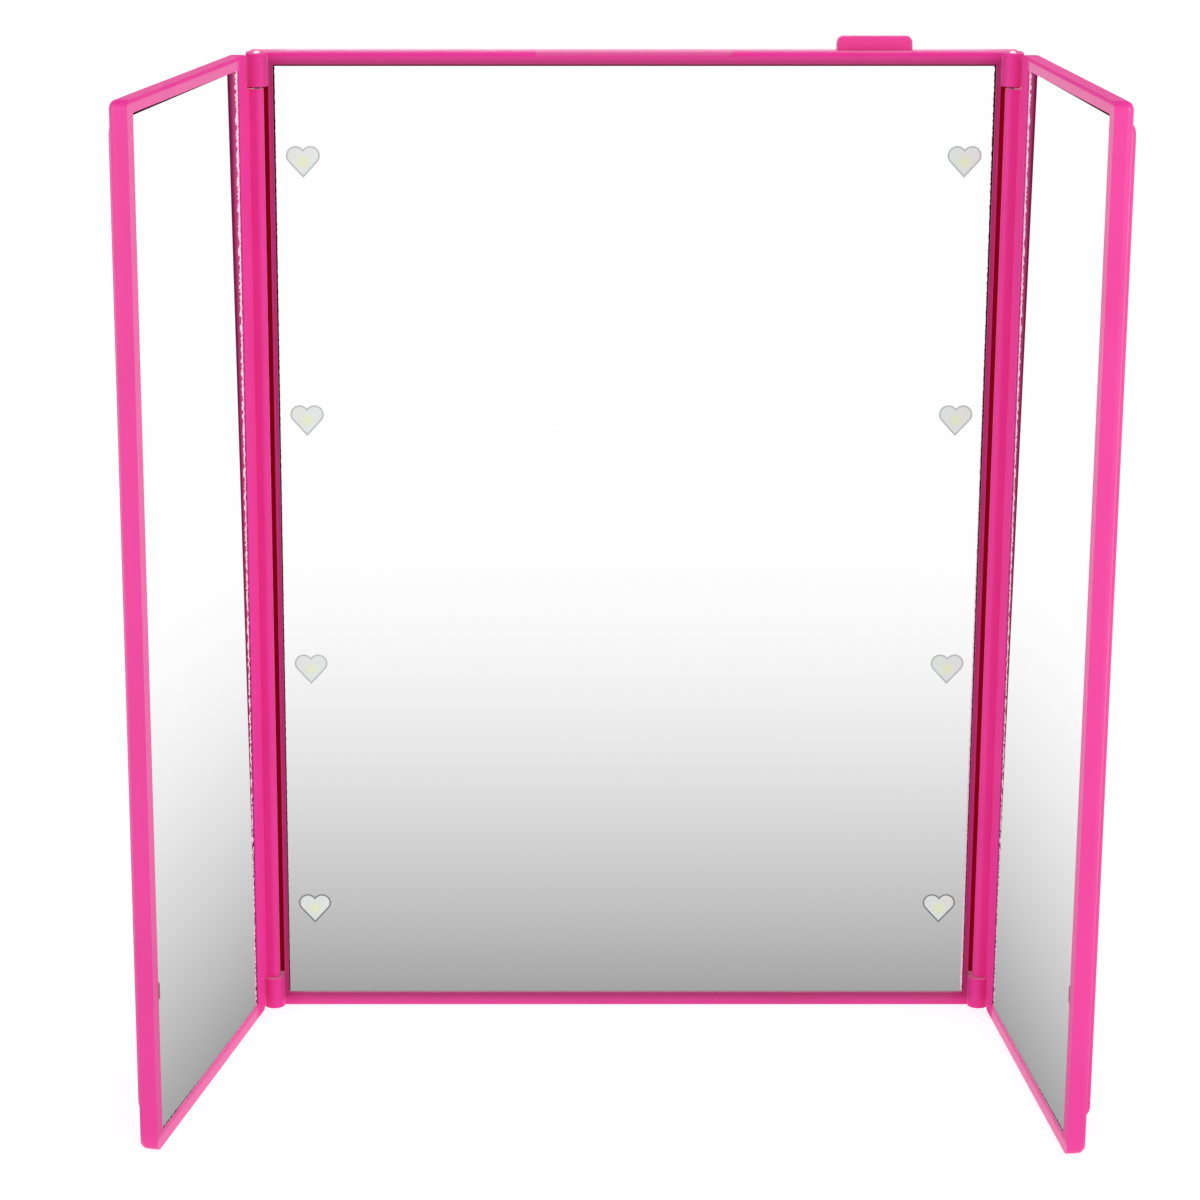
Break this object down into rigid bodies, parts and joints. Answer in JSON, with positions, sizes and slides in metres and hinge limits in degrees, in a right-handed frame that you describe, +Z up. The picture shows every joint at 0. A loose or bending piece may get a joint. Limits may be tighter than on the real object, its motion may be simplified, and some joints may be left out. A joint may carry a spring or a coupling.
{
  "type": "lighted trifold makeup mirror",
  "caption": "Tabletop makeup mirror with a lamp-lit middle pane, two hinged side panes that fold over it, a push button on top and a battery box behind.",
  "frame": {"origin": "middle of the bottom face of the middle housing, on the table", "axes": "+X to the right as seen from the front, +Y to the back, +Z up; the middle mirror faces -Y"},
  "size_m": [0.1692, 0.0852, 0.1886],
  "materials": {
    "pink_plastic": "moulded, glossy, slightly translucent",
    "mirror": "silvered glass",
    "frosted_window": "frosted clear area of the pane over a pale lamp",
    "lamp": "pale yellow lamp, unlit",
    "circuit_board": "white board",
    "steel": "bright steel",
    "contact_metal": "nickel plated strip",
    "switch_body": "black moulded",
    "cell_wrap": "plain grey wrap",
    "foam": "white foam",
    "wire_red": "smooth insulation",
    "wire_black": "smooth insulation"
  },
  "bodies": {
    "centre_panel": {"centre_front_frame": "pink_plastic", "centre_back_shell": "pink_plastic", "centre_mirror": "mirror", "heart_windows": "frosted_window", "leds_left": "lamp", "leds_right": "lamp", "led_board_left": "circuit_board", "led_board_right": "circuit_board", "control_board": "circuit_board", "power_switch": "switch_body", "battery_terminal_negative": "contact_metal", "battery_terminal_positive": "contact_metal", "battery_link_top": "contact_metal", "battery_link_bottom_left": "contact_metal", "battery_link_bottom_right": "contact_metal", "back_screws": "steel", "mirror_foam_pads": "foam", "battery_lead_negative": "wire_black", "battery_lead_positive": "wire_red", "led_lead_left": "wire_red", "led_lead_right": "wire_red", "battery_cell_1": "cell_wrap", "battery_cell_2": "cell_wrap", "battery_cell_3": "cell_wrap", "battery_cell_4": "cell_wrap", "hinge_pin_left_top": "steel", "hinge_pin_left_bottom": "steel", "hinge_pin_right_top": "steel", "hinge_pin_right_bottom": "steel"},
    "left_wing": {"left_wing_frame": "pink_plastic", "left_wing_cover": "pink_plastic", "left_wing_mirror": "mirror", "left_wing_mirror_tape": "foam"},
    "right_wing": {"right_wing_frame": "pink_plastic", "right_wing_cover": "pink_plastic", "right_wing_mirror": "mirror", "right_wing_mirror_tape": "foam"},
    "power_button": {"power_button": "pink_plastic", "switch_plunger": "switch_body"},
    "battery_door": {"battery_door": "pink_plastic"}
  },
  "joints": [
    {"name": "left_wing_hinge", "type": "hinge", "parent": "centre_panel", "child": "left_wing", "pos_m": [-0.0688, -0.0038, 0.093], "axis": [0, 0, -1], "range_deg": [-102.6, 77.4]},
    {"name": "right_wing_hinge", "type": "hinge", "parent": "centre_panel", "child": "right_wing", "pos_m": [0.0688, -0.0038, 0.093], "axis": [0, 0, 1], "range_deg": [-94.5, 85.5]},
    {"name": "power_button_press", "type": "slide", "parent": "centre_panel", "child": "power_button", "axis": [0, 0, -1], "range_m": [0, 0.0008], "stiffness_N_per_m": 1500, "springref_m": -0.0005},
    {"name": "battery_door_slide", "type": "slide", "parent": "centre_panel", "child": "battery_door", "axis": [0, 0, 1], "range_m": [0, 0.054]}
  ]
}
